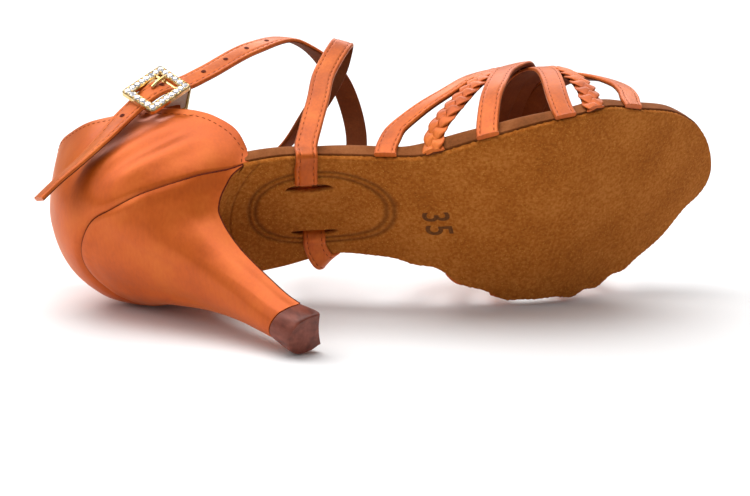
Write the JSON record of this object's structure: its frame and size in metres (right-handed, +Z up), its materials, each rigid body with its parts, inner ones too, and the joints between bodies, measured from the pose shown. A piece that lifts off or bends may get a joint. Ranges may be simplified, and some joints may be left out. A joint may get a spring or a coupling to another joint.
{
  "type": "ballroom dance shoe",
  "caption": "Strappy satin ballroom dance sandal with a flared heel, braided vamp straps, a suede sole and a buckled ankle strap",
  "frame": {"origin": "On the floor under the middle of the shoe's footprint, with the shoe lying on its inner side", "axes": "+X from the heel to the toe along the floor, +Z up, away from the floor on the outer side of the foot, and the sole looks mainly to -Y"},
  "size_m": [0.2258, 0.1246, 0.0831],
  "materials": {
    "outsole": "brushed tan suede",
    "insole": "matte brown lining leather",
    "counter": "copper tan satin",
    "vamp": "copper tan satin, plain and braided bands",
    "heel": "heel covered in copper tan satin",
    "heel_tip": "matte dark red brown rubber",
    "ankle_strap": "stitched copper tan satin band",
    "buckle_frame": "polished gold tone, set with clear stones",
    "buckle_hook": "polished gold tone wire",
    "buckle_tab": "folded copper tan satin"
  },
  "bodies": {
    "root": {"outsole": "outsole", "insole": "insole", "counter": "counter", "vamp": "vamp", "heel": "heel", "heel_tip": "heel_tip", "ankle_strap": "ankle_strap", "buckle_frame": "buckle_frame", "buckle_hook": "buckle_hook", "buckle_tab": "buckle_tab"}
  },
  "joints": []
}
